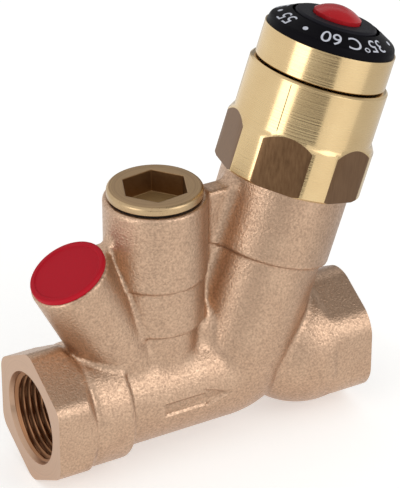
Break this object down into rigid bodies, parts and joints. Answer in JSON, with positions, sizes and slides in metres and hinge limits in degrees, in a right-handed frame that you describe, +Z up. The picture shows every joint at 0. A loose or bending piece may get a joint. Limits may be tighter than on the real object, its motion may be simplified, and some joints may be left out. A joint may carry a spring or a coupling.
{
  "type": "thermostatic circulation valve",
  "caption": "Y-pattern gunmetal regulating valve for a hot-water circulation pipe: threaded ends, slanted bonnet with temperature dial, service plug and capped pocket.",
  "frame": {"origin": "centre of the inlet mouth, on the pipe's axis", "axes": "+X along the pipe from inlet to outlet, +Z up in the plane of the slanted bonnet"},
  "size_m": [0.1152, 0.0432, 0.1251],
  "materials": {
    "gunmetal": "satin cast",
    "turned_brass": "turned",
    "plug_brass": "satin",
    "inner_brass": "turned",
    "red_plastic": "matte",
    "red_gloss": "gloss",
    "black_plastic": "satin",
    "spring_steel": "drawn wire",
    "stainless": "ground",
    "seal_rubber": "matte",
    "slip_plastic": "matte"
  },
  "bodies": {
    "body": {"valve_body": "gunmetal", "service_plug": "plug_brass", "plug_gasket": "seal_rubber", "pocket_cap": "red_plastic", "bonnet": "turned_brass", "bonnet_o_ring": "seal_rubber", "thrust_washer": "slip_plastic", "return_spring": "spring_steel"},
    "handwheel": {"spindle": "inner_brass", "spindle_o_rings": "seal_rubber", "handwheel_skirt": "turned_brass", "dial_ring": "black_plastic", "dial_hub": "black_plastic", "hub_cap": "red_gloss", "knob_screw": "stainless"},
    "sleeve": {"setting_sleeve": "inner_brass", "cup_clip": "spring_steel", "thrust_cup": "stainless", "overtravel_spring": "spring_steel", "piston_pin": "stainless"},
    "plunger": {"wax_element": "inner_brass", "valve_plunger": "inner_brass", "seat_washer": "seal_rubber", "washer_screw": "stainless"}
  },
  "joints": [
    {"name": "dial_turn", "type": "hinge", "parent": "body", "child": "handwheel", "pos_m": [0.0643, 0, 0], "axis": [0.3256, 0, 0.9455], "range_deg": [-31, 275]},
    {"name": "sleeve_travel", "type": "slide", "parent": "body", "child": "sleeve", "axis": [0.3256, 0, 0.9455], "range_m": [-0.00305, 0.00034], "deforming": ["return_spring"]},
    {"name": "plunger_stroke", "type": "slide", "parent": "sleeve", "child": "plunger", "axis": [0.3256, 0, 0.9455], "range_m": [-0.0022, 0], "stiffness_N_per_m": 1200, "springref_m": 0.004, "deforming": ["return_spring"]}
  ],
  "couplings": [
    {"joint": "dial_turn", "follows": "sleeve_travel", "rad_per_m": -1570.8}
  ]
}
